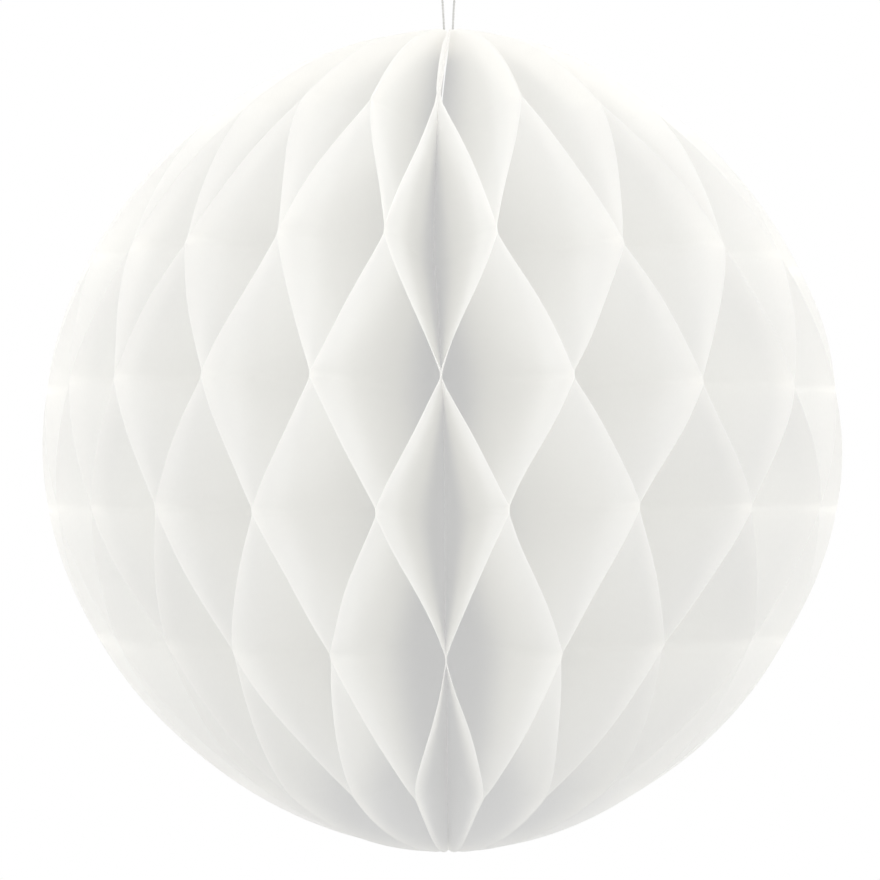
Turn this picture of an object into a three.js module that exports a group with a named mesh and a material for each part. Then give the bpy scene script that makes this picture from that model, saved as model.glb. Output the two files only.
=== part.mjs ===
// Honeycomb paper ball: half-round tissue leaves, each glued to its neighbours in rows that take turns,
// bound along their straight edges and fanned a full turn about a spine, with a thread to hang it by.
// Millimetres, +Z up. The spine lies on the Z axis, the ball's middle is the origin and -Y is the front.
import * as THREE from 'three';

// Driving dimensions of the leaves
const CELL_COUNT = 22;
const LEAF_RADIUS = 102;
const BINDING_MARGIN = 2;
const LEAF_THICKNESS = 0.1;
const TIP_WIDTH = 1.6;

// Driving dimensions of the glue rows, measured along a flat leaf
const GLUE_PITCH = 32.9;
const GLUE_WIDTH = 3;
const GLUE_FILM = 0.1;
const ROW_DROP = 3;

// How the ball opens: the fan is this share wider than average towards +X and as much tighter towards -X,
// the paper bows a little between rows, and the pairs of leaves part by a share of a cell near the poles
const FAN_BIAS_RATIO = 0.165;
const PAPER_BOW_RATIO = 1.1;
const POLE_PARTING_RATIO = 0.12;

// The spine's top stretch leans towards +X with the pull of the thread
const LEAN_HEIGHT = 22;
const TOP_LEAN = 1.5;

// Driving dimensions of the thread
const THREAD_DIAMETER = 0.6;
const THREAD_CLEARANCE = 0.3;
const LOOP_HEIGHT = 30;
const LOOP_WIDTH = 5;

// One strand of the loop from the pole to the top, in shares of half the loop's width and of its height
const LOOP_STRAND = [
  [0.45, 0.09], [0.5, 0.18], [0.58, 0.3], [0.7, 0.43], [0.84, 0.57],
  [0.96, 0.7], [1, 0.82], [0.88, 0.91], [0.52, 0.98],
];

// Corners of a leaf's section, and fineness of the facets
const SECTION_CORNERS = 4;
const RIM_STEP = THREE.MathUtils.degToRad(8);
const THREAD_SIDES = 8;
const LOOP_STEPS = 50;

// The leaves are glued in pairs, so there are two to each cell of a row
const LEAF_COUNT = 2 * CELL_COUNT;
const LEAF_ANGLE = 2 * Math.PI / LEAF_COUNT;

// Each leaf has a wedge of the fan to itself. The tightest wedge sets how near the axis the bound edges
// come, and they leave room for the two strands of the thread side by side.
const TIGHTEST_WEDGE = LEAF_ANGLE * (1 - FAN_BIAS_RATIO);
const BOUND_RADIUS = (LEAF_THICKNESS + GLUE_FILM) / TIGHTEST_WEDGE;
const THREADED_RADIUS = THREAD_DIAMETER + 1.5 * THREAD_CLEARANCE;
const SPINE_RADIUS = Math.max(BOUND_RADIUS, THREADED_RADIUS);
const STRAND_OFFSET = SPINE_RADIUS - THREAD_CLEARANCE - THREAD_DIAMETER / 2;

// Height of the leaves' blunt tips above the middle, and where the spine starts to lean
const TIP_RADIUS = SPINE_RADIUS + TIP_WIDTH;
const TIP_HEIGHT = Math.sqrt(LEAF_RADIUS ** 2 - (TIP_RADIUS + BINDING_MARGIN) ** 2);
const LEAN_START = TIP_HEIGHT - LEAN_HEIGHT;

const tissue = new THREE.MeshStandardMaterial({ color: 0xf3f3ef, roughness: 0.95, metalness: 0 });
const thread = new THREE.MeshStandardMaterial({ color: 0xe4e4e0, roughness: 0.8, metalness: 0 });

// Azimuth of a seam, counted from the front towards +X. Neighbouring leaves meet at their seam.
function seamAzimuth(seam) {
  const even = seam * LEAF_ANGLE;
  return even + FAN_BIAS_RATIO * (1 - Math.cos(even));
}

// Rows of glue on a flat leaf, from the bottom up. Rows are glued at even and at odd seams in turn.
function glueRows() {
  const rows = [];
  const reach = TIP_HEIGHT - GLUE_WIDTH / 2;
  const most = Math.ceil(LEAF_RADIUS / GLUE_PITCH);
  for (let number = -most; number <= most; number += 1) {
    const height = (number + 0.5) * GLUE_PITCH - ROW_DROP;
    if (Math.abs(height) < reach) {
      rows.push({ height, swing: Math.abs(number) % 2 });
    }
  }
  return rows;
}

// Heights on the flat leaf where it turns, with its swing there: 0 at an even seam, 1 at an odd one.
// The leaf is flat on each row of glue, and beyond the last rows it stays in its pair up to the poles.
function turningPoints(rows) {
  const turns = [{ height: -TIP_HEIGHT, swing: rows.at(0).swing }];
  for (const { height, swing } of rows) {
    turns.push({ height: height - GLUE_WIDTH / 2, swing });
    turns.push({ height: height + GLUE_WIDTH / 2, swing });
  }
  turns.push({ height: TIP_HEIGHT, swing: rows.at(-1).swing });
  return turns;
}

// Opening a leaf draws its rows together: paper that leans sideways across a cell covers less height.
function openedHeight(height, radius) {
  const lean = PAPER_BOW_RATIO * radius * LEAF_ANGLE / GLUE_PITCH;
  return height * Math.sqrt(1 - lean ** 2);
}

// Straight lines across the leaf, from its bound edge out to its round rim, from the bottom up
function leafStations() {
  const turns = turningPoints(glueRows());
  const stations = [];
  for (let i = 0; i < turns.length - 1; i += 1) {
    const low = turns[i];
    const high = turns[i + 1];
    const lowAngle = Math.asin(low.height / LEAF_RADIUS);
    const highAngle = Math.asin(high.height / LEAF_RADIUS);
    const steps = Math.ceil((highAngle - lowAngle) / RIM_STEP);
    const atPole = i === 0 || i === turns.length - 2;
    const last = i === turns.length - 2 ? steps : steps - 1;
    for (let step = 0; step <= last; step += 1) {
      const angle = THREE.MathUtils.lerp(lowAngle, highAngle, step / steps);
      const height = LEAF_RADIUS * Math.sin(angle);
      const rimRadius = LEAF_RADIUS * Math.cos(angle) - BINDING_MARGIN;
      const climb = (height - low.height) / (high.height - low.height);
      const swing = THREE.MathUtils.lerp(low.swing, high.swing, climb);
      const parting = atPole ? POLE_PARTING_RATIO * Math.sin(Math.PI * step / steps) : 0;
      stations.push({
        swing: THREE.MathUtils.lerp(swing, 1 - swing, parting),
        spineHeight: height,
        rimRadius,
        rimHeight: openedHeight(height, rimRadius),
        lean: TOP_LEAN * Math.max(0, height - LEAN_START) / LEAN_HEIGHT,
      });
    }
  }
  return stations;
}

// The four corners of a leaf's section at one station: spine and rim, on its two faces
function stationCorners(leaf, station) {
  const share = leaf % 2 === 0 ? station.swing : 1 - station.swing;
  const azimuth = THREE.MathUtils.lerp(seamAzimuth(leaf), seamAzimuth(leaf + 1), share);
  const seat = (GLUE_FILM + LEAF_THICKNESS) / 2;
  const aside = THREE.MathUtils.lerp(seat, -seat, share);
  const outward = new THREE.Vector3(Math.sin(azimuth), -Math.cos(azimuth), 0);
  const across = new THREE.Vector3(Math.cos(azimuth), Math.sin(azimuth), 0);
  const corner = (radius, height, face) => new THREE.Vector3(station.lean, 0, height)
    .addScaledVector(outward, radius)
    .addScaledVector(across, aside + face * LEAF_THICKNESS / 2);
  return [
    corner(SPINE_RADIUS, station.spineHeight, -1),
    corner(SPINE_RADIUS, station.spineHeight, 1),
    corner(station.rimRadius, station.rimHeight, 1),
    corner(station.rimRadius, station.rimHeight, -1),
  ];
}

// One leaf as a closed thin solid, skinned from station to station
function leafGeometry(leaf, stations) {
  const points = stations.flatMap((station) => stationCorners(leaf, station));
  const indices = [];
  const quad = (a, b, c, d) => indices.push(a, b, c, a, c, d);
  quad(0, 1, 2, 3);
  const top = points.length - SECTION_CORNERS;
  for (let low = 0; low < top; low += SECTION_CORNERS) {
    const high = low + SECTION_CORNERS;
    quad(low + 1, high + 1, high + 2, low + 2);
    quad(low, low + 3, high + 3, high);
    quad(low + 3, low + 2, high + 2, high + 3);
    quad(low, high, high + 1, low + 1);
  }
  quad(top + 3, top + 2, top + 1, top);
  const geometry = new THREE.BufferGeometry().setFromPoints(points);
  geometry.setIndex(indices);
  geometry.computeVertexNormals();
  return geometry;
}

function named(name, geometry, material) {
  const mesh = new THREE.Mesh(geometry, material.clone());
  mesh.name = name;
  return mesh;
}

// All the leaves, numbered from the front towards +X
function fannedLeaves() {
  const stations = leafStations();
  const fan = new THREE.Group();
  for (let leaf = 0; leaf < LEAF_COUNT; leaf += 1) {
    const number = String(leaf + 1).padStart(2, '0');
    fan.add(named(`tissue_leaf_${number}`, leafGeometry(leaf, stations), tissue));
  }
  return fan;
}

// One tail of the thread, from the top pole down the stretch of the spine that leans
function threadTail(name, side) {
  const radius = THREAD_DIAMETER / 2;
  const length = Math.hypot(LEAN_HEIGHT, TOP_LEAN);
  const geometry = new THREE.CylinderGeometry(radius, radius, length, THREAD_SIDES);
  const tail = named(name, geometry.rotateX(Math.PI / 2), thread);
  tail.rotation.y = Math.atan2(TOP_LEAN, LEAN_HEIGHT);
  tail.position.set(side * STRAND_OFFSET + TOP_LEAN / 2, 0, TIP_HEIGHT - LEAN_HEIGHT / 2);
  return tail;
}

// The free loop, from the one strand at the top pole round to the other
function hangingLoop() {
  const foot = TIP_HEIGHT + THREAD_CLEARANCE;
  const at = (x, rise) => new THREE.Vector3(TOP_LEAN + x, 0, foot + rise);
  const strand = (side) => [
    at(side * STRAND_OFFSET, 0),
    ...LOOP_STRAND.map(([out, up]) => at(side * out * LOOP_WIDTH / 2, up * LOOP_HEIGHT)),
  ];
  const route = new THREE.CatmullRomCurve3([
    ...strand(-1),
    at(0, LOOP_HEIGHT),
    ...strand(1).reverse(),
  ]);
  const corners = [];
  for (let side = 0; side < THREAD_SIDES; side += 1) {
    const angle = 2 * Math.PI * side / THREAD_SIDES;
    corners.push(new THREE.Vector2(Math.cos(angle), Math.sin(angle)).multiplyScalar(THREAD_DIAMETER / 2));
  }
  const geometry = new THREE.ExtrudeGeometry(new THREE.Shape(corners), {
    steps: LOOP_STEPS,
    extrudePath: route,
    bevelEnabled: false,
  });
  return named('hanging_loop', geometry, thread);
}

const ball = new THREE.Group();
ball.add(fannedLeaves());
ball.add(threadTail('thread_tail_left', -1));
ball.add(threadTail('thread_tail_right', 1));
ball.add(hangingLoop());

export default ball;
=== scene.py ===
import math

import bpy
import numpy as np
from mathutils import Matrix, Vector


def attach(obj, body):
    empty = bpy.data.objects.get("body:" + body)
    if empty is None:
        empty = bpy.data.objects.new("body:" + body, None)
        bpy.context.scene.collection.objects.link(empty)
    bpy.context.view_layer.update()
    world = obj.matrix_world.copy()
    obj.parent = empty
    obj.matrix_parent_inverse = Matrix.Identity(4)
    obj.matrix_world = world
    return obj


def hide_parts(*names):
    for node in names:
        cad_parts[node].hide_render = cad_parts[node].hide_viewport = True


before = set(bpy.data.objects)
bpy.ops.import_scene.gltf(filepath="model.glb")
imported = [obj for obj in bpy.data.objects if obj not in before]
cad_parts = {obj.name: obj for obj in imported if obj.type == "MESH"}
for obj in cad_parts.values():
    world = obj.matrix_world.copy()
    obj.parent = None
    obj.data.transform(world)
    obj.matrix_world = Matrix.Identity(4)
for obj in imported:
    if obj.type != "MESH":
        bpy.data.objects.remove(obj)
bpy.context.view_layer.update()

# A honeycomb paper ball on a thread. Lengths of the ball are millimetres, which MM turns into metres.
# Those of the studio, the camera's place and the depths of bump are metres.
MM = 0.001

# The opened ball, as in the part's source
CELL_COUNT = 22
LEAF_RADIUS = 102.0
BINDING_MARGIN = 2.0
TIP_WIDTH = 1.6
GLUE_PITCH = 32.9
GLUE_WIDTH = 3.0
ROW_DROP = 3.0
FAN_BIAS = 0.165
PAPER_BOW = 1.1
LEAN_HEIGHT = 22.0
TOP_LEAN = 1.5
SPINE_RADIUS = 1.678
LEAF_COUNT = 2 * CELL_COUNT
LEAF_ANGLE = 2 * math.pi / LEAF_COUNT
TIP_RADIUS = SPINE_RADIUS + TIP_WIDTH
TIP_HEIGHT = math.sqrt(LEAF_RADIUS ** 2 - (TIP_RADIUS + BINDING_MARGIN) ** 2)
LEAN_START = TIP_HEIGHT - LEAN_HEIGHT

# The thread, as in the part's source: its loop's strand in shares of half the width and of the height
STRAND_OFFSET = 1.078
THREAD_CLEARANCE = 0.3
LOOP_HEIGHT = 30.0
LOOP_WIDTH = 5.0
LOOP_STRAND = [
    (0.45, 0.09), (0.5, 0.18), (0.58, 0.3), (0.7, 0.43), (0.84, 0.57),
    (0.96, 0.7), (1, 0.82), (0.88, 0.91), (0.52, 0.98),
]

# The plies of the thread and how finely they are made
PLY_COUNT = 2
PLY_RADIUS = 0.165
PLY_SIDES = 8
TWIST_RADIUS = 0.135
TWIST_PITCH = 1.5
THREAD_STEP = 0.1
ROUTE_STEPS = 12
THREAD_CORNER = math.radians(60)

# The paper and its glue, which holds a share of the row's width, more at the rim than inside
PAPER = 0.05
GLUE_FILM = 0.02
INNER_GLUE = 0.1
RIM_GLUE = 0.6
GLUE_START = 0.9
GLUE_RAMP = 0.1

# The bound edge lies close to the axis, and opens over this height below the thread's tails to clear them
BOUND_RADIUS = 0.05
CLEARING_HEIGHT = 8.0

# How the paper turns beside a row, and how much longer it keeps to the row by the spine
TURN_ROUNDING = 0.5
ROUNDING_SAMPLES = 7
BEND_SOFTNESS = 0.08
SPINE_LAG = 5.0

# Lines across a leaf, out to LAST_LINE degrees from its waist, and more of them beside each row
LAST_LINE = 88.0
LINE_COUNT = 89
TURN_SPAN = 1.6
TURN_LINES = 5
LEAST_GAP = 0.25

# Points along each line, closer together towards the rim, and the angle from which an edge is sharp
COLUMN_COUNT = 15
COLUMN_CROWDING = 1.35
PAPER_CORNER = math.radians(50)

# Sideways bend of the soft spine towards +X, by height from the bottom up
SPINE_BEND = [
    (-102, 1.5), (-85, 1.1), (-60, 1.0), (-42, 0.5), (-15, 0.5), (8, 0.3),
    (27, -0.6), (47, -2.4), (64, -2.0), (80, -1.2), (102, 0.0),
]
BEND_SMOOTHING = 9
BEND_FADE = 60.0

# Beyond the last rows the two leaves of a pair part along their rims, by a share of a wedge
POLE_PARTING = 0.03
FRONT_PARTING = 0.12
PARTING_POWER = 0.6
FLARE_DEPTH = 10.0

# The front pairs also turn there, by seam
TOP_TURN = {0: math.radians(4.0)}
TOP_TURN_POWER = 2
BOTTOM_TURN = {-1: math.radians(1.9), 1: math.radians(-1.9)}
BOTTOM_TURN_POWER = 0.8

# The thread draws the top up and the bottom sags, most within this reach of the poles
TOP_RISE = 0.6
RISE_START = 80.0
RISE_SPAN = 20.0
TOP_PEAK = 1.4
BOTTOM_SAG = 0.4
POLE_REACH = 22.0

# The outline is fuller than a circle between waist and poles, and slimmer at the waist
SQUARENESS = 0.9
SQUARE_FADE = 8

# Waves in a leaf between its rows: depth as a share of a wedge, and how many would fill a whole circle
WAVES = [(0.030, 5.0), (0.022, 9.0), (0.012, 17.0)]
WAVE_REACH = 1.1
PHASES_DRAWN = 4

# How each joint of the front sits: degrees of turn and millimetres of lift, by row number and seam
JOINT_SET = {
    (2, -4): (1.3, 0.5), (2, -2): (1.4, -1.0), (2, 0): (-0.8, 0.0), (2, 2): (-0.7, 0.0),
    (2, 4): (0.3, -0.1),
    (1, -5): (-0.4, -0.1), (1, -3): (0.5, 0.0), (1, -1): (0.2, -0.4), (1, 1): (-0.9, -0.3),
    (1, 3): (0.3, -1.7), (1, 5): (1.1, -0.3),
    (0, -6): (-1.4, 0.4), (0, -4): (0.0, -0.1), (0, -2): (-0.2, -0.8), (0, 0): (-0.2, -1.0),
    (0, 2): (-0.7, -0.9), (0, 4): (0.1, -1.4), (0, 6): (0.7, -1.0),
    (-1, -7): (-0.8, 0.2), (-1, -5): (-0.8, 0.5), (-1, -3): (-0.4, -0.4), (-1, -1): (0.0, -0.6),
    (-1, 1): (-0.2, -0.1), (-1, 3): (-0.4, 0.7), (-1, 5): (0.4, 0.5), (-1, 7): (1.6, 0.5),
    (-2, -4): (-0.4, -0.1), (-2, -2): (0.0, -0.3), (-2, 0): (0.5, -0.7), (-2, 2): (0.3, -0.1),
    (-2, 4): (-0.4, 1.3), (-2, 6): (1.9, 0.6),
    (-3, -3): (2.2, 0.2), (-3, -1): (1.4, -0.2), (-3, 1): (1.7, 0.0), (-3, 3): (-0.4, -0.2),
}

# The other joints are scattered by this much, in the same measures
TURN_SCATTER = 0.55
LIFT_SCATTER = 0.6
SEED = 11

# Tones of the paper by decimetres from the spine, which are its flat coordinates, slanted with height. The
# grey by the spine is painted shade, and the slant is painted light that makes the top lighter.
UV_SCALE = 0.01
PAPER_AND_PAINTED_SHADE_TONES = [(0.0, (0.902, 0.902, 0.900)), (0.16, (0.899, 0.899, 0.897)), (0.46, (0.93, 0.929, 0.921))]
PAINTED_TOP_LIGHT_SLANT = 0.2
TRANSLUCENCE = 0.7

# A painted highlight along the rim, measured from RIM_SHIFT below the leaf's middle, so it is wider above
PAINTED_RIM_HIGHLIGHT = (0.952, 0.949, 0.939)
RIM_WIDTH = 6.0
RIM_SHIFT = 2.5

# Fibres of the paper, most of them along the height of the leaf
FIBRE_SCALE = (260.0, 70.0, 0.0)
FIBRE_DETAIL = 1.0
FIBRE_BUMP = 0.12
FIBRE_DEPTH = 0.00004
FLECK_SPAN = 0.024
FLECK_BASE = 0.988
PAPER_ROUGHNESS = 0.84
PAPER_ROUGHNESS_SPAN = 0.12

# Spun cotton of the thread, with painted shade where its fuzz and slubs lie low
THREAD_AND_PAINTED_SHADE_TONES = [(0.3, (0.52, 0.52, 0.50)), (0.65, (0.70, 0.70, 0.68))]
FUZZ_SCALE = 9000.0
FUZZ_DETAIL = 3.0
SLUB_SCALE = 700.0
FUZZ_SHARE = 0.5
SLUB_SHARE = 0.5
THREAD_BUMP = 0.5
THREAD_DEPTH = 0.00003
THREAD_ROUGHNESS = 0.7
THREAD_ROUGHNESS_SPAN = 0.2
THREAD_SPECULAR = 0.2

# Camera at the photograph's place
CAMERA_DISTANCE = 0.5164
CAMERA_ELEVATION = math.radians(-1.834)
CAMERA_AIM = (-0.63 * MM, 0, 0.33 * MM)
CAMERA_LENS = 83.77
CAMERA_SENSOR = 36.0

# Soft lamps by name: azimuth and elevation in degrees, size and power, all at one distance
LAMP_DISTANCE = 1.4
SOFTBOXES = {
    "left_softbox": (-40, 18, 0.4, 2.8),
    "right_softbox": (33, 18, 0.4, 2.5),
    "top_softbox": (0, 55, 0.8, 0.7),
}

# Light without shadows, for what passes through the paper: azimuth and elevation in degrees, and strength
FILL_LIGHTS = {
    "fill_1": (45, 0, 0.194),
    "fill_2": (135, 0, 0.194),
    "fill_3": (225, 0, 0.194),
    "fill_4": (315, 0, 0.194),
    "fill_front": (0, 12, 0.235),
}
FILL_DISTANCE = 1.0
FILL_ANGLE = math.radians(30)

# The white surroundings, and the floor well below the ball, as the light and as the camera meets it
WORLD_LEVEL = 0.80
FLOOR_HEIGHT = -1.2
FLOOR_RADIUS = 4.2
FLOOR_SIDES = 96
FLOOR_TONE = (0.67, 0.67, 0.67)
FLOOR_SEEN = (0.97, 0.97, 0.97)
FLOOR_ROUGHNESS = 0.9


def glue_rows():
    """Row numbers and their heights on the flat leaf, from the bottom up."""
    reach = TIP_HEIGHT - GLUE_WIDTH / 2
    most = math.ceil(LEAF_RADIUS / GLUE_PITCH)
    rows = [(number, (number + 0.5) * GLUE_PITCH - ROW_DROP) for number in range(-most, most + 1)]
    return [(number, height) for number, height in rows if abs(height) < reach]


def leaf_heights():
    """Heights of the lines across a flat leaf, close together where the paper turns."""
    edges = {-TIP_HEIGHT, TIP_HEIGHT}
    for angle in np.radians(np.linspace(-LAST_LINE, LAST_LINE, LINE_COUNT)):
        edges.add(LEAF_RADIUS * math.sin(angle))
    for _, height in ROWS:
        for side in (-1, 1):
            for step in np.linspace(-TURN_SPAN, TURN_SPAN, TURN_LINES):
                edges.add(height + side * GLUE_WIDTH / 2 + step * TURN_ROUNDING)
            edges.add(height + side * (GLUE_WIDTH / 2 + SPINE_LAG))
    found = sorted(edge for edge in edges if abs(edge) <= TIP_HEIGHT)
    kept = [found[0]]
    for height in found[1:]:
        if height - kept[-1] > LEAST_GAP:
            kept.append(height)
    kept[-1] = TIP_HEIGHT
    return np.array(kept)


ROWS = glue_rows()
HEIGHTS = leaf_heights()
ACROSS = 1 - (1 - np.linspace(0, 1, COLUMN_COUNT)) ** COLUMN_CROWDING

rng = np.random.RandomState(SEED)
JITTER = {(number, seam): (rng.normal(0, TURN_SCATTER), rng.normal(0, LIFT_SCATTER))
          for number, _ in ROWS for seam in range(LEAF_COUNT)}


def smoothstep(x):
    """Eases from 0 to 1 while x runs from 0 to 1."""
    x = np.clip(x, 0, 1)
    return x * x * (3 - 2 * x)


def seam_azimuth(seam):
    """Azimuth of a seam from the front towards +X, in the fan that is wider on that side."""
    even = seam * LEAF_ANGLE
    return even + FAN_BIAS * (1 - math.cos(even))


def signed(seam):
    """The seam's number counted both ways from the front."""
    around = seam % LEAF_COUNT
    return around - LEAF_COUNT if around > LEAF_COUNT // 2 else around


def held_seam(leaf, number):
    """The seam that a leaf is glued at in one row: its own, or the next."""
    return leaf if leaf % 2 == abs(number) % 2 else leaf + 1


def joint_at(number, seam):
    """Azimuth and lift of the joint of one row at one seam."""
    turn, lift = JOINT_SET.get((number, signed(seam)), JITTER[(number, seam % LEAF_COUNT)])
    return seam_azimuth(seam) + math.radians(turn), lift


def swung(x, heights, values, half_width):
    """Flat on each row of glue, and a soft S from row to row."""
    made = np.full_like(x, values[0])
    for low, high, start, stop in zip(heights, heights[1:], values, values[1:]):
        u = np.clip((x - low - half_width) / (high - low - 2 * half_width), 0, 1)
        made += (stop - start) * (u * (1 - BEND_SOFTNESS) + smoothstep(u) * BEND_SOFTNESS)
    return made


def rounded(x, heights, values, half_width):
    """The same with its corners rounded off."""
    reach = np.linspace(-TURN_ROUNDING, TURN_ROUNDING, ROUNDING_SAMPLES)
    return np.mean([swung(x + r, heights, values, half_width) for r in reach], axis=0)


def pole_share(psi, inner, end):
    """How far a line lies on the way from a last row of glue to its pole, from 0 to 1."""
    start = math.asin(inner / LEAF_RADIUS)
    stop = math.asin(end / LEAF_RADIUS)
    return np.clip((psi - start) / (stop - start), 0, 1)


def opened_outline(h, psi):
    """Radius and height of the rim of an opened leaf, and the rise of its lines towards the poles."""
    rim = LEAF_RADIUS * np.cos(psi) - BINDING_MARGIN
    opened = h * np.sqrt(1 - (PAPER_BOW * rim * LEAF_ANGLE / GLUE_PITCH) ** 2)
    square = -SQUARENESS * np.cos(4 * psi) * (1 - (h / LEAF_RADIUS) ** SQUARE_FADE)
    rim = rim + square * np.cos(psi)
    near_pole = smoothstep(1 - rim / POLE_REACH)
    rise = TOP_RISE * smoothstep((h - RISE_START) / RISE_SPAN)
    rise = rise + np.where(h > 0, TOP_PEAK, -BOTTOM_SAG) * near_pole
    return rim, opened + square * np.sin(psi), rise


def spine_bend(h):
    """Sideways bend of the spine at each line, smoothed."""
    bend = np.interp(h, *zip(*SPINE_BEND))
    padded = np.pad(bend, BEND_SMOOTHING // 2, mode="edge")
    return np.convolve(padded, np.full(BEND_SMOOTHING, 1 / BEND_SMOOTHING), mode="valid")


def leaf_points(leaf):
    """Middle surface of a leaf in millimetres, its sideways direction, and its flat coordinates."""
    h = HEIGHTS
    v = ACROSS[None, :]
    psi = np.arcsin(h / LEAF_RADIUS)
    heights = [height for _, height in ROWS]
    seams = [held_seam(leaf, number) for number, _ in ROWS]
    azimuths, lifts = zip(*(joint_at(number, seam) for (number, _), seam in zip(ROWS, seams)))
    low = seam_azimuth(leaf)
    high = seam_azimuth(leaf + 1)
    wedge = high - low
    middle = (low + high) / 2

    # From joint to joint the rim is drawn straight, so it turns most where it is nearest the spine
    stuck = GLUE_WIDTH / 2 * (INNER_GLUE + (RIM_GLUE - INNER_GLUE) * smoothstep((v - GLUE_START) / GLUE_RAMP))
    half_width = stuck + SPINE_LAG * (1 - v) ** 2
    place = h[:, None] + 0 * v
    reach = np.sqrt(LEAF_RADIUS ** 2 - np.square(heights)) - BINDING_MARGIN
    spread = [rounded(place, heights, reach * part(np.array(azimuths) - middle), half_width)
              for part in (np.sin, np.cos)]
    azimuth = middle + np.arctan2(*spread)
    share = rounded(place, heights, [seam - leaf for seam in seams], half_width)

    # Beyond the last rows the pairs part and turn
    low_end = pole_share(psi, heights[0] + GLUE_WIDTH, -TIP_HEIGHT)
    high_end = pole_share(psi, heights[-1] - GLUE_WIDTH, TIP_HEIGHT)
    top_seam = signed(seams[-1])
    top_parting = FRONT_PARTING if top_seam == 0 else POLE_PARTING
    away = np.where(h < 0, POLE_PARTING, top_parting) * wedge
    away = away * np.sin(math.pi * (low_end + high_end)) ** PARTING_POWER
    parting = np.where(share[:, -1] < 0.5, 1.0, -1.0) * away
    azimuth += TOP_TURN.get(top_seam, 0) * high_end[:, None] ** TOP_TURN_POWER
    bottom_turn = BOTTOM_TURN.get(signed(seams[0]), 0)
    azimuth += bottom_turn * np.sin(math.pi * low_end)[:, None] ** BOTTOM_TURN_POWER

    rim, opened, rise = opened_outline(h, psi)
    lift = rounded(h, heights, lifts, GLUE_WIDTH / 2) * (1 - smoothstep(low_end + high_end))
    opened = opened + lift + rise
    cleared = smoothstep((h - LEAN_START + CLEARING_HEIGHT) / CLEARING_HEIGHT)
    inner = BOUND_RADIUS + (SPINE_RADIUS - BOUND_RADIUS) * cleared
    radius = inner[:, None] * (1 - v) + rim[:, None] * v
    height = (h + rise)[:, None] * (1 - v) + opened[:, None] * v

    # One phase is drawn beyond those that the waves use
    phases = rng.uniform(0, 2 * math.pi, PHASES_DRAWN)
    waves = sum(depth * np.sin(pace * psi + phase) for (depth, pace), phase in zip(WAVES, phases))
    turn = azimuth + wedge * 4 * share * (1 - share) * waves[:, None] * smoothstep(v * WAVE_REACH)
    turn += parting[:, None] * smoothstep(1 - (rim[:, None] - radius) / FLARE_DEPTH)

    aside = (PAPER + GLUE_FILM) / 2 * (1 - 2 * share)
    outward = np.stack([np.sin(turn), -np.cos(turn), np.zeros_like(turn)], -1)
    across = np.stack([np.cos(turn), np.sin(turn), np.zeros_like(turn)], -1)
    points = radius[..., None] * outward + aside[..., None] * across
    lean = TOP_LEAN * np.maximum(0, h - LEAN_START) / LEAN_HEIGHT
    held_back = 1 - v * smoothstep(rim[:, None] / BEND_FADE)
    points[..., 0] += lean[:, None] + spine_bend(h)[:, None] * held_back
    points[..., 2] += height
    flat_x = inner[:, None] * (1 - v) + (LEAF_RADIUS * np.cos(psi))[:, None] * v
    flat_y = np.broadcast_to(h[:, None], flat_x.shape)
    return points, across, np.stack([flat_x, flat_y], -1)


def leaf_mesh(name, leaf):
    """A leaf as a thin closed sheet, with its flat coordinates as UVs."""
    middle, across, flat = leaf_points(leaf)
    rows, columns = middle.shape[:2]
    faced = [middle + side * PAPER / 2 * across for side in (-1, 1)]
    points = np.concatenate([face.reshape(-1, 3) for face in faced]) * MM
    index = np.arange(rows * columns).reshape(rows, columns)
    a, b, c, d = index[:-1, :-1], index[:-1, 1:], index[1:, 1:], index[1:, :-1]
    left = np.stack([a, b, c, d], -1).reshape(-1, 4)
    right = np.stack([a, d, c, b], -1).reshape(-1, 4) + rows * columns
    border = np.concatenate([index[0, :-1], index[:-1, -1], index[-1, :0:-1], index[:0:-1, 0]])
    ahead = np.roll(border, -1)
    edge = np.stack([border, border + rows * columns, ahead + rows * columns, ahead], -1)
    faces = np.concatenate([left, right, edge])
    mesh = bpy.data.meshes.new(name)
    mesh.from_pydata(points.tolist(), [], faces.tolist())
    uv = np.concatenate([flat.reshape(-1, 2)] * 2) * UV_SCALE
    layer = mesh.uv_layers.new(name="flat")
    layer.data.foreach_set("uv", uv[faces.ravel()].ravel())
    mesh.shade_smooth()
    mesh.set_sharp_from_angle(angle=PAPER_CORNER)
    mesh.validate()
    return mesh


def loop_route():
    """Points of the hanging loop in metres, from the one strand at the top pole round to the other."""
    foot = TIP_HEIGHT + THREAD_CLEARANCE
    left = [(-STRAND_OFFSET, 0)] + [(-out * LOOP_WIDTH / 2, up * LOOP_HEIGHT) for out, up in LOOP_STRAND]
    right = [(-x, z) for x, z in reversed(left)]
    return np.array([(TOP_LEAN + x, 0, foot + z) for x, z in left + [(0, LOOP_HEIGHT)] + right]) * MM


def smooth_route(points):
    """Centripetal Catmull-Rom through the points."""
    ends = np.concatenate([[2 * points[0] - points[1]], points, [2 * points[-1] - points[-2]]])
    made = []
    for p0, p1, p2, p3 in zip(ends, ends[1:], ends[2:], ends[3:]):
        t1 = np.linalg.norm(p1 - p0) ** 0.5
        t2 = t1 + np.linalg.norm(p2 - p1) ** 0.5
        t3 = t2 + np.linalg.norm(p3 - p2) ** 0.5
        for t in np.linspace(t1, t2, ROUTE_STEPS, endpoint=False):
            a1 = p0 + (p1 - p0) * t / t1
            a2 = p1 + (p2 - p1) * (t - t1) / (t2 - t1)
            a3 = p2 + (p3 - p2) * (t - t2) / (t3 - t2)
            b1 = a1 + (a2 - a1) * t / t2
            b2 = a2 + (a3 - a2) * (t - t1) / (t3 - t1)
            made.append(b1 + (b2 - b1) * (t - t1) / (t2 - t1))
    made.append(points[-1])
    return np.array(made)


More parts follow.
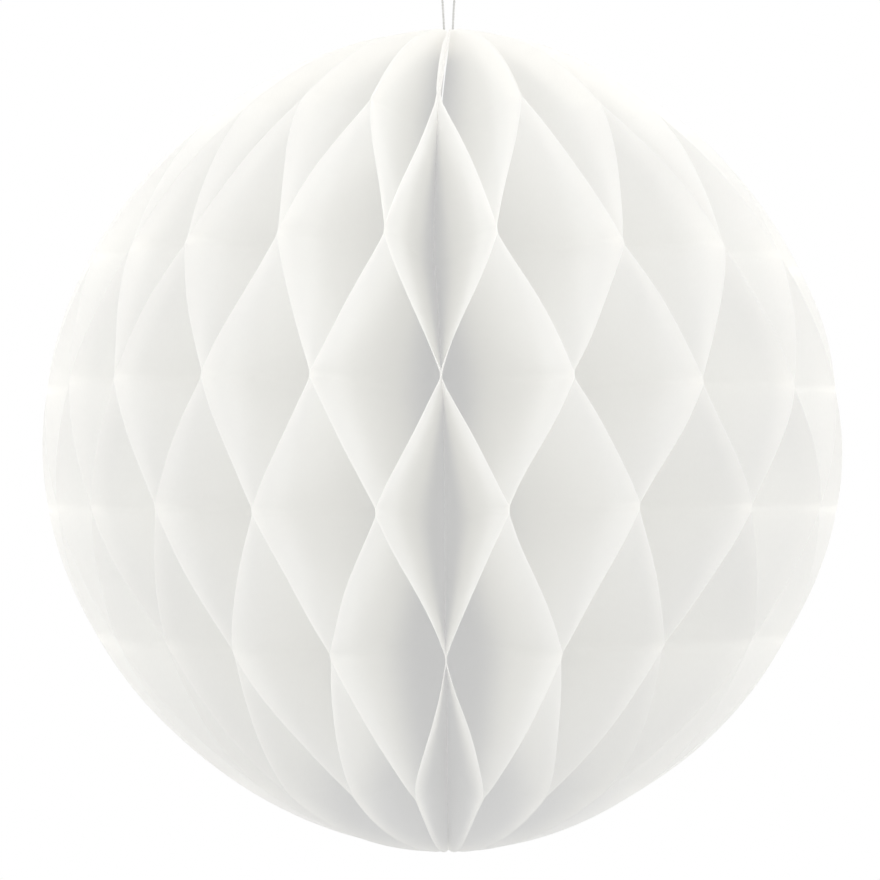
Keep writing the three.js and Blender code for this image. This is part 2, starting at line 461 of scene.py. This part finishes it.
def twisted_thread(name, line):
    """Plies twisted round a line, each a closed tube."""
    gaps = np.linalg.norm(np.diff(line, axis=0), axis=1)
    along = np.concatenate([[0], np.cumsum(gaps)])
    count = int(along[-1] / (THREAD_STEP * MM))
    s = np.linspace(0, along[-1], count + 1)
    centre = np.stack([np.interp(s, along, line[:, i]) for i in range(3)], -1)
    tangent = np.gradient(centre, axis=0)
    tangent /= np.linalg.norm(tangent, axis=1)[:, None]
    side = np.broadcast_to(np.array([0.0, 1.0, 0.0]), tangent.shape)
    other = np.cross(tangent, side)
    ring = np.arange(PLY_SIDES) * 2 * math.pi / PLY_SIDES
    round_ply = np.cos(ring)[None, :, None] * side[:, None] + np.sin(ring)[None, :, None] * other[:, None]
    points = []
    faces = []
    for ply in range(PLY_COUNT):
        angle = 2 * math.pi * (s / (TWIST_PITCH * MM) + ply / PLY_COUNT)
        around = np.cos(angle)[:, None] * side + np.sin(angle)[:, None] * other
        core = centre + TWIST_RADIUS * MM * around
        tube = core[:, None] + PLY_RADIUS * MM * round_ply
        base = sum(len(made) for made in points)
        points.append(tube.reshape(-1, 3))
        index = base + np.arange((count + 1) * PLY_SIDES).reshape(count + 1, PLY_SIDES)
        turned = np.roll(index, -1, axis=1)
        walls = np.stack([index[:-1], turned[:-1], turned[1:], index[1:]], -1)
        faces += walls.reshape(-1, 4).tolist()
        faces.append(index[0][::-1].tolist())
        faces.append(index[-1].tolist())
    mesh = bpy.data.meshes.new(name)
    mesh.from_pydata(np.concatenate(points).tolist(), [], faces)
    mesh.shade_smooth()
    mesh.set_sharp_from_angle(angle=THREAD_CORNER)
    return mesh


def add(name, data):
    """A new object in the scene."""
    made = bpy.data.objects.new(name, data)
    bpy.context.scene.collection.objects.link(made)
    return made


def new_material(name):
    """A material with an empty node tree, its nodes and links, and its output's surface."""
    material = bpy.data.materials.new(name)
    material.use_nodes = True
    tree = material.node_tree
    tree.nodes.clear()
    surface = tree.nodes.new("ShaderNodeOutputMaterial").inputs["Surface"]
    return material, tree, tree.nodes, tree.links, surface


def vector_node(tree, operation, source, *values):
    """A Vector Math node on a socket and plain vectors."""
    node = tree.nodes.new("ShaderNodeVectorMath")
    node.operation = operation
    tree.links.new(source, node.inputs[0])
    for socket, value in zip(node.inputs[1:], values):
        socket.default_value = value
    return node


def maths(tree, operation, *values, clamp=False):
    """A Math node on sockets or plain numbers; returns its output."""
    node = tree.nodes.new("ShaderNodeMath")
    node.operation = operation
    node.use_clamp = clamp
    for socket, value in zip(node.inputs, values):
        if isinstance(value, bpy.types.NodeSocket):
            tree.links.new(value, socket)
        else:
            socket.default_value = value
    return node.outputs[0]


def ramp(tree, value, stops):
    """A colour ramp over plain (place, colour) stops; returns its colour."""
    node = tree.nodes.new("ShaderNodeValToRGB")
    node.color_ramp.interpolation = "EASE"
    points = node.color_ramp.elements
    while len(points) < len(stops):
        points.new(0.5)
    for point, (place, colour) in zip(points, stops):
        point.position = place
        point.color = (*colour, 1)
    tree.links.new(value, node.inputs[0])
    return node.outputs[0]


def bumped(tree, height, strength, distance):
    """A Bump node on a height; returns its normal."""
    node = tree.nodes.new("ShaderNodeBump")
    node.inputs["Strength"].default_value = strength
    node.inputs["Distance"].default_value = distance
    tree.links.new(height, node.inputs["Height"])
    return node.outputs[0]


def tissue_material():
    """White tissue with laid fibre, with painted shade greying it by the spine, painted light towards the top
    and a painted highlight along its cut rim.
    """
    material, tree, nodes, links, surface = new_material("tissue_paper")
    flat = nodes.new("ShaderNodeUVMap")
    flat.uv_map = "flat"
    # Painted shade towards the spine and painted light towards the top, from the flat coordinates
    outward = vector_node(tree, "DOT_PRODUCT", flat.outputs[0], (1.0, PAINTED_TOP_LIGHT_SLANT, 0.0))
    tone = ramp(tree, outward.outputs["Value"], PAPER_AND_PAINTED_SHADE_TONES)
    # A painted highlight along the rim, wider towards the top
    reach = vector_node(tree, "DISTANCE", flat.outputs[0], (0.0, -RIM_SHIFT * UV_SCALE, 0.0))
    rim_highlight = nodes.new("ShaderNodeMapRange")
    rim_highlight.interpolation_type = "SMOOTHSTEP"
    rim_highlight.inputs["From Min"].default_value = (LEAF_RADIUS - RIM_WIDTH) * UV_SCALE
    rim_highlight.inputs["From Max"].default_value = LEAF_RADIUS * UV_SCALE
    links.new(reach.outputs["Value"], rim_highlight.inputs["Value"])
    highlighted = nodes.new("ShaderNodeMix")
    highlighted.data_type = "RGBA"
    links.new(rim_highlight.outputs["Result"], highlighted.inputs["Factor"])
    links.new(tone, highlighted.inputs["A"])
    highlighted.inputs["B"].default_value = (*PAINTED_RIM_HIGHLIGHT, 1)

    laid = vector_node(tree, "MULTIPLY", flat.outputs[0], FIBRE_SCALE)
    fibre = nodes.new("ShaderNodeTexNoise")
    fibre.noise_dimensions = "2D"
    fibre.inputs["Scale"].default_value = 1.0
    fibre.inputs["Detail"].default_value = FIBRE_DETAIL
    links.new(laid.outputs[0], fibre.inputs["Vector"])
    fleck = maths(tree, "MULTIPLY_ADD", fibre.outputs["Fac"], FLECK_SPAN, FLECK_BASE)
    speckled = vector_node(tree, "SCALE", highlighted.outputs["Result"])
    links.new(fleck, speckled.inputs["Scale"])
    rough = maths(tree, "MULTIPLY_ADD", fibre.outputs["Fac"], PAPER_ROUGHNESS_SPAN, PAPER_ROUGHNESS)

    paper = nodes.new("ShaderNodeBsdfPrincipled")
    paper.inputs["Specular IOR Level"].default_value = 0.0
    links.new(rough, paper.inputs["Roughness"])
    links.new(speckled.outputs[0], paper.inputs["Base Color"])
    links.new(bumped(tree, fibre.outputs["Fac"], FIBRE_BUMP, FIBRE_DEPTH), paper.inputs["Normal"])
    through = nodes.new("ShaderNodeBsdfTranslucent")
    links.new(speckled.outputs[0], through.inputs["Color"])
    mix = nodes.new("ShaderNodeMixShader")
    mix.inputs[0].default_value = TRANSLUCENCE
    links.new(paper.outputs[0], mix.inputs[1])
    links.new(through.outputs[0], mix.inputs[2])
    links.new(mix.outputs[0], surface)
    return material


def thread_material():
    """Spun cotton: fine fuzz and slow slubs, with painted shade where they lie low so they are paler where
    they stand up, with a soft bump.
    """
    material, tree, nodes, links, surface = new_material("thread")
    place = nodes.new("ShaderNodeTexCoord")
    fuzz = nodes.new("ShaderNodeTexNoise")
    fuzz.inputs["Scale"].default_value = FUZZ_SCALE
    fuzz.inputs["Detail"].default_value = FUZZ_DETAIL
    links.new(place.outputs["Object"], fuzz.inputs["Vector"])
    slub = nodes.new("ShaderNodeTexNoise")
    slub.inputs["Scale"].default_value = SLUB_SCALE
    links.new(place.outputs["Object"], slub.inputs["Vector"])
    fuzzy = maths(tree, "MULTIPLY", fuzz.outputs["Fac"], FUZZ_SHARE)
    height = maths(tree, "MULTIPLY_ADD", slub.outputs["Fac"], SLUB_SHARE, fuzzy)
    rough = maths(tree, "MULTIPLY_ADD", fuzz.outputs["Fac"], THREAD_ROUGHNESS_SPAN, THREAD_ROUGHNESS)
    cotton = nodes.new("ShaderNodeBsdfPrincipled")
    cotton.inputs["Specular IOR Level"].default_value = THREAD_SPECULAR
    # Painted shade in the low parts of the fuzz and slubs
    links.new(ramp(tree, height, THREAD_AND_PAINTED_SHADE_TONES), cotton.inputs["Base Color"])
    links.new(rough, cotton.inputs["Roughness"])
    links.new(bumped(tree, height, THREAD_BUMP, THREAD_DEPTH), cotton.inputs["Normal"])
    links.new(cotton.outputs[0], surface)
    return material


def floor_material():
    """A pale floor, lighter where the camera sees it than where light bounces off it."""
    material, tree, nodes, links, surface = new_material("floor")
    path = nodes.new("ShaderNodeLightPath")
    pale = nodes.new("ShaderNodeBsdfPrincipled")
    pale.inputs["Roughness"].default_value = FLOOR_ROUGHNESS
    tone = ramp(tree, path.outputs["Is Camera Ray"], [(0.0, FLOOR_TONE), (1.0, FLOOR_SEEN)])
    links.new(tone, pale.inputs["Base Color"])
    links.new(pale.outputs[0], surface)
    return material


def studio_world():
    """Even light from all round, white to the camera, in reflections and through clear glass."""
    world = bpy.data.worlds.new("studio")
    world.use_nodes = True
    world.cycles.sampling_method = "NONE"
    tree = world.node_tree
    tree.nodes.clear()
    backgrounds = []
    for strength in (WORLD_LEVEL, 1.0):
        background = tree.nodes.new("ShaderNodeBackground")
        background.inputs["Color"].default_value = (1, 1, 1, 1)
        background.inputs["Strength"].default_value = strength
        backgrounds.append(background)
    path = tree.nodes.new("ShaderNodeLightPath").outputs
    clear = maths(tree, "SUBTRACT", path["Is Transmission Ray"], path["Is Diffuse Ray"], clamp=True)
    plain = maths(tree, "MAXIMUM", path["Is Camera Ray"], path["Is Glossy Ray"])
    pick = tree.nodes.new("ShaderNodeMixShader")
    tree.links.new(maths(tree, "MAXIMUM", plain, clear), pick.inputs[0])
    tree.links.new(backgrounds[0].outputs[0], pick.inputs[1])
    tree.links.new(backgrounds[1].outputs[0], pick.inputs[2])
    out = tree.nodes.new("ShaderNodeOutputWorld")
    tree.links.new(pick.outputs[0], out.inputs[0])
    return world


def add_light(name, light, azimuth, elevation, distance):
    """A lamp that points at the ball, placed by degrees from the front towards +X and degrees up."""
    a = math.radians(azimuth)
    e = math.radians(elevation)
    place = distance * Vector((math.sin(a) * math.cos(e), -math.cos(a) * math.cos(e), math.sin(e)))
    lamp = add(name, light)
    lamp.location = place
    lamp.rotation_euler = (-place).to_track_quat("-Z", "Y").to_euler()


# Camera
camera_data = bpy.data.cameras.new("camera")
camera_data.sensor_width = CAMERA_SENSOR
camera_data.lens = CAMERA_LENS
camera = add("camera", camera_data)
camera_depth = CAMERA_DISTANCE * math.cos(CAMERA_ELEVATION)
camera.location = (0, -camera_depth, CAMERA_DISTANCE * math.sin(CAMERA_ELEVATION))
aim = Vector(CAMERA_AIM)
camera.rotation_euler = (aim - camera.location).to_track_quat("-Z", "Y").to_euler()
bpy.context.scene.camera = camera

# Materials
tissue = tissue_material()
thread = thread_material()

# Thread
route = loop_route()
line = smooth_route(route)
loop = add("thread_loop", twisted_thread("thread_loop", line))
loop.data.materials.append(thread)
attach(loop, "root")
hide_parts("hanging_loop")
for tail in ("thread_tail_left", "thread_tail_right"):
    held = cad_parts[tail]
    held.data.materials.clear()
    held.data.materials.append(thread)

# Leaves
for leaf in range(LEAF_COUNT):
    name = f"leaf_{leaf + 1:02d}"
    sheet = add(name, leaf_mesh(name, leaf))
    sheet.data.materials.append(tissue)
    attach(sheet, "root")
    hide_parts(f"tissue_{name}")

# Studio
bpy.context.scene.world = studio_world()
for name, (azimuth, elevation, size, power) in SOFTBOXES.items():
    light = bpy.data.lights.new(name, "AREA")
    light.shape = "SQUARE"
    light.size = size
    light.energy = power
    add_light(name, light, azimuth, elevation, LAMP_DISTANCE)
for name, (azimuth, elevation, strength) in FILL_LIGHTS.items():
    light = bpy.data.lights.new(name, "SUN")
    light.energy = strength
    light.angle = FILL_ANGLE
    light.use_shadow = False
    add_light(name, light, azimuth, elevation, FILL_DISTANCE)

# Floor
floor_mesh = bpy.data.meshes.new("floor")
ring = [(FLOOR_RADIUS * math.cos(a), FLOOR_RADIUS * math.sin(a), FLOOR_HEIGHT)
        for a in np.linspace(0, 2 * math.pi, FLOOR_SIDES, endpoint=False)]
floor_mesh.from_pydata(ring, [], [list(range(FLOOR_SIDES))])
floor_mesh.materials.append(floor_material())
floor = add("floor", floor_mesh)

# Plain view, and lamps picked without the light tree
bpy.context.scene.view_settings.view_transform = "Standard"
bpy.context.scene.cycles.use_light_tree = False
